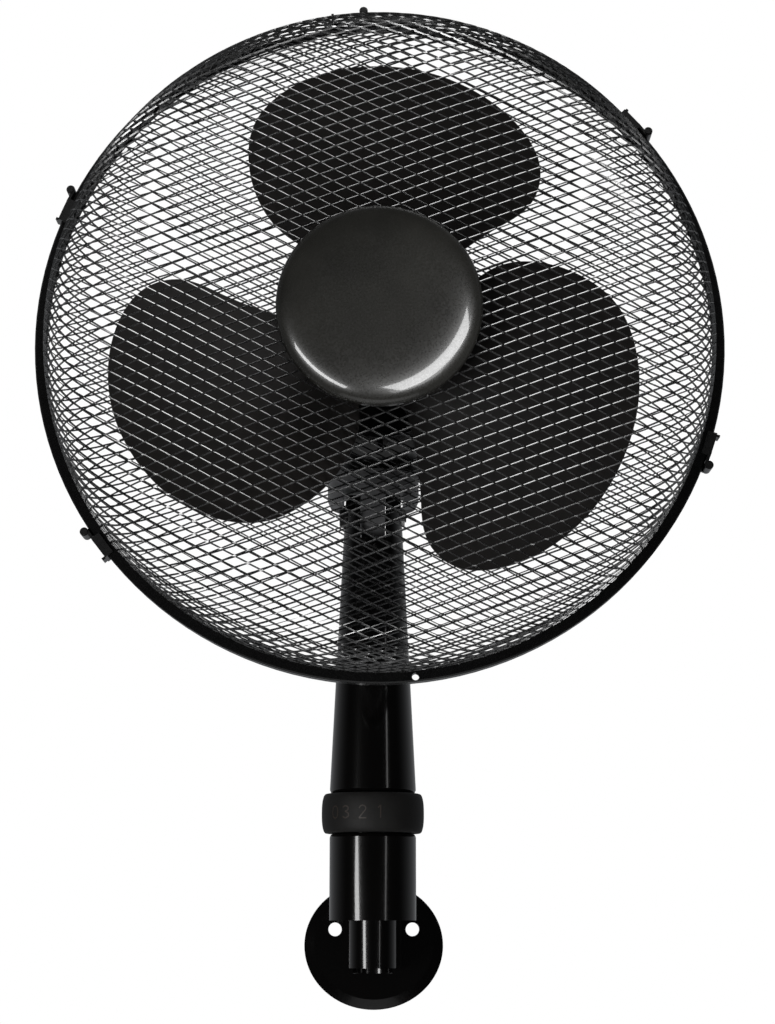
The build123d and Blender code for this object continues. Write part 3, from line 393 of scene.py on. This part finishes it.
# ---------------------------------------------------------------- centre cap
def centre_cap():
    """Cap with a softly rounded front, hollow behind."""
    back = MEETING - high_of("centre_cap").y
    front = MEETING - low_of("centre_cap").y
    drop = 10.4 * MM
    wall = 2.2 * MM
    edge = 0.4 * MM
    fullness = 5
    steps = 44
    profile = [(CAP_RADIUS - wall, back), (CAP_RADIUS - edge, back), (CAP_RADIUS, back + edge)]
    for k in range(steps + 1):
        share = math.cos(math.pi / 2 * k / steps)
        rise = drop * math.sqrt(max(0.0, 1 - share ** fullness))
        profile.append((CAP_RADIUS * share, front - drop + rise))
    vertices, faces = lathe(profile, ROUND, about_fan)
    piece = make("cap", vertices, faces, CAP, "head", ("centre_cap",))
    soften(piece, degrees=40)
    return piece


CAP_PIECE = centre_cap()


# ---------------------------------------------------------------- speed ring and its digits
RING_DRAW = 2.7 * MM          # the ring's ends are this much smaller than its middle, in radius
RING_FULLNESS = 2.6
RING_BORE = 23.6 * MM
RING_EDGE = 0.6 * MM
RING_STEPS = 24


def ring_radius(height):
    """Outside of the ring at a height: a barrel."""
    end = RING_RADIUS - RING_DRAW
    share = abs(height - (RING_LOW + RING_HIGH) / 2) / ((RING_HIGH - RING_LOW) / 2)
    return end + (RING_RADIUS - end) * math.sqrt(max(0.0, 1 - share ** RING_FULLNESS))


def speed_ring():
    profile = [(RING_BORE, RING_LOW), (ring_radius(RING_LOW) - RING_EDGE, RING_LOW)]
    for k in range(RING_STEPS + 1):
        h = RING_LOW + (RING_HIGH - RING_LOW) * (0.5 - 0.5 * math.cos(math.pi * k / RING_STEPS))
        profile.append((ring_radius(h), h))
    profile.append((ring_radius(RING_HIGH) - RING_EDGE, RING_HIGH))
    profile += [(RING_BORE, RING_HIGH), (RING_BORE, RING_LOW)]
    vertices, faces = lathe(profile, ROUND, about_column)
    piece = make("speed_ring", vertices, faces, FINISHES["ring_plastic"], "switch_ring",
                 ("switch_ring",))
    soften(piece, degrees=50)


# Strokes of each digit, in a cell 1 wide and 1.5 high
DIGIT_STROKES = {
    0: [[(0.5, 0), (0.15, 0.2), (0.05, 0.75), (0.15, 1.3), (0.5, 1.5), (0.85, 1.3), (0.95, 0.75),
         (0.85, 0.2), (0.5, 0)]],
    1: [[(0.3, 1.2), (0.6, 1.5), (0.6, 0)]],
    2: [[(0.08, 1.15), (0.25, 1.42), (0.55, 1.5), (0.88, 1.3), (0.88, 1.0), (0.05, 0), (0.95, 0)]],
    3: [[(0.08, 1.3), (0.45, 1.5), (0.85, 1.3), (0.8, 0.95), (0.4, 0.8), (0.85, 0.6), (0.92, 0.25),
         (0.5, 0), (0.05, 0.2)]],
}
DIGIT_WIDTH = 5.4 * MM
DIGIT_LINE = 0.8 * MM
DIGIT_PIECE = 0.9 * MM        # strokes follow the barrel in pieces of about this length
DIGIT_LIFT = 0.06 * MM        # above the ring's surface
DIGIT_MIDDLE = (0.5, 0.75)    # middle of a digit's cell
DIGIT_ANGLES = {0: -46, 3: -31, 2: -11, 1: 8}     # round the column from its front, to the right


def digits():
    """Printed digits that lie on the ring's barrel."""
    centre = middle("switch_ring").z
    vertices = []
    faces = []
    for digit, degrees in DIGIT_ANGLES.items():
        turn = math.radians(degrees - 90)
        for stroke in DIGIT_STROKES[digit]:
            for (x0, y0), (x1, y1) in zip(stroke, stroke[1:]):
                dx, dy = x1 - x0, y1 - y0
                size = math.hypot(dx, dy)
                nx, ny = -dy / size, dx / size
                half = DIGIT_LINE / DIGIT_WIDTH / 2
                parts = max(1, round(size * DIGIT_WIDTH / DIGIT_PIECE))
                base = len(vertices)
                for k in range(parts + 1):
                    for side in (-1, 1):
                        x = x0 + dx * k / parts + side * nx * half
                        y = y0 + dy * k / parts + side * ny * half
                        height = centre + (y - DIGIT_MIDDLE[1]) * DIGIT_WIDTH
                        radius = ring_radius(height) + DIGIT_LIFT
                        angle = turn + (x - DIGIT_MIDDLE[0]) * DIGIT_WIDTH / radius
                        vertices.append(about_column(radius, angle, height))
                for k in range(parts):
                    one = base + 2 * k
                    faces.append((one, one + 2, one + 3, one + 1))
    make("digits", vertices, faces, DIGITS, "switch_ring", smooth=False)


speed_ring()
digits()


# ---------------------------------------------------------------- camera, light and floor
CAMERA_PLACE = (9.6 * MM, -1499.4 * MM, 17.0 * MM)
CAMERA_PITCH = 10.97          # degrees, looking up
CAMERA_LENS = 74.08
CAMERA_SENSOR = 36.0
ROOM_COLOUR = (0.9, 0.92, 0.95, 1)
ROOM_FADE = (-0.35, 0.75)     # range of a ray's y over which the room turns from dark to pale
ROOM_STRENGTH = (0.02, 0.28)
FLOOR_HALF = 1.1
FLOOR_HEIGHT = -1.6
CAP_PLACE = (0, -0.3, 0.37)


def camera():
    """Fitted to the photograph: level with the wall plate, looking up at the guard."""
    data = bpy.data.cameras.new("camera")
    data.sensor_width = CAMERA_SENSOR
    data.lens = CAMERA_LENS
    thing = bpy.data.objects.new("camera", data)
    bpy.context.collection.objects.link(thing)
    thing.location = CAMERA_PLACE
    thing.rotation_euler = (math.radians(90 + CAMERA_PITCH), 0, 0)
    data.clip_end = 100
    bpy.context.scene.camera = thing


def area_light(name, place, target, width, height, power, roll=0.0):
    """Soft box that looks at a target, turned about its own line of sight by some degrees."""
    data = bpy.data.lights.new(name, "AREA")
    data.shape = "RECTANGLE"
    data.size = width
    data.size_y = height
    data.energy = power
    thing = bpy.data.objects.new(name, data)
    bpy.context.collection.objects.link(thing)
    thing.location = place
    direction = Vector(target) - Vector(place)
    turn = direction.to_track_quat("-Z", "Y") @ Quaternion((0, 0, 1), math.radians(roll))
    thing.rotation_euler = turn.to_euler()
    return thing


def linked(light, piece, state):
    """Keeps a light off a piece (EXCLUDE), or lets it light that piece alone (INCLUDE)."""
    group = bpy.data.collections.new(light.name)
    group.objects.link(piece)
    light.light_linking.receiver_collection = group
    group.collection_objects[0].light_linking.link_state = state


def world():
    """White to the camera; for the surfaces a pale room behind the fan and a dark one in front of it."""
    made = bpy.data.worlds.new("world")
    made.use_nodes = True
    bpy.context.scene.world = made
    tree = made.node_tree
    back = tree.nodes["Background"]
    back.inputs["Color"].default_value = ROOM_COLOUR
    place = tree.nodes.new("ShaderNodeTexCoord").outputs["Generated"]
    parts = tree.nodes.new("ShaderNodeSeparateXYZ")
    tree.links.new(place, parts.inputs["Vector"])
    fade = tree.nodes.new("ShaderNodeMapRange")
    fade.interpolation_type = "SMOOTHSTEP"
    fade.inputs["From Min"].default_value = ROOM_FADE[0]
    fade.inputs["From Max"].default_value = ROOM_FADE[1]
    fade.inputs["To Min"].default_value = ROOM_STRENGTH[0]
    fade.inputs["To Max"].default_value = ROOM_STRENGTH[1]
    tree.links.new(parts.outputs["Y"], fade.inputs["Value"])
    tree.links.new(fade.outputs["Result"], back.inputs["Strength"])
    seen = tree.nodes.new("ShaderNodeBackground")
    seen.inputs["Color"].default_value = (1, 1, 1, 1)
    seen.inputs["Strength"].default_value = 1.0
    path = tree.nodes.new("ShaderNodeLightPath")
    mix = tree.nodes.new("ShaderNodeMixShader")
    tree.links.new(path.outputs["Is Camera Ray"], mix.inputs["Fac"])
    tree.links.new(back.outputs["Background"], mix.inputs[1])
    tree.links.new(seen.outputs["Background"], mix.inputs[2])
    tree.links.new(mix.outputs["Shader"], tree.nodes["World Output"].inputs["Surface"])


def floor():
    mesh = bpy.data.meshes.new("floor")
    signs = ((-1, -1), (1, -1), (1, 1), (-1, 1))
    corners = [(a * FLOOR_HALF, b * FLOOR_HALF, FLOOR_HEIGHT) for a, b in signs]
    mesh.from_pydata(corners, [], [(0, 1, 2, 3)])
    thing = bpy.data.objects.new("floor", mesh)
    bpy.context.collection.objects.link(thing)
    mesh.materials.append(finish("pale floor", (0.8, 0.8, 0.8), 0.6, grain=60, bump=0.0, spread=0.03))
    return thing


camera()
world()
FLOOR = floor()
area_light("low left", (-0.93, -1.55, -0.2), CAP_PLACE, width=0.26, height=1.1, power=13, roll=46)
area_light("low right", (0.58, -1.67, -0.42), CAP_PLACE, width=0.9, height=0.3, power=2.5, roll=32)
area_light("right strip", (1.08, -1.53, 0.245), CAP_PLACE, width=0.1, height=0.88, power=0.7, roll=-24)
top = area_light("top", (0, -0.7, 2.0), (0, -0.15, 0.3), width=0.8, height=1.8, power=32)
linked(top, CAP_PIECE, "EXCLUDE")
cap_box = area_light("cap", (0.74, -1.87, 0.07), CAP_PLACE, width=1.6, height=0.6, power=36, roll=48)
linked(cap_box, CAP_PIECE, "INCLUDE")
below = (0, -0.35, FLOOR_HEIGHT)
floor_box = area_light("floor", (0, -0.4, 1.2), below, width=1.5, height=1.5, power=16)
linked(floor_box, FLOOR, "INCLUDE")

scene = bpy.context.scene
scene.view_settings.view_transform = "Standard"
scene.view_settings.look = "None"
scene.view_settings.exposure = 0.0
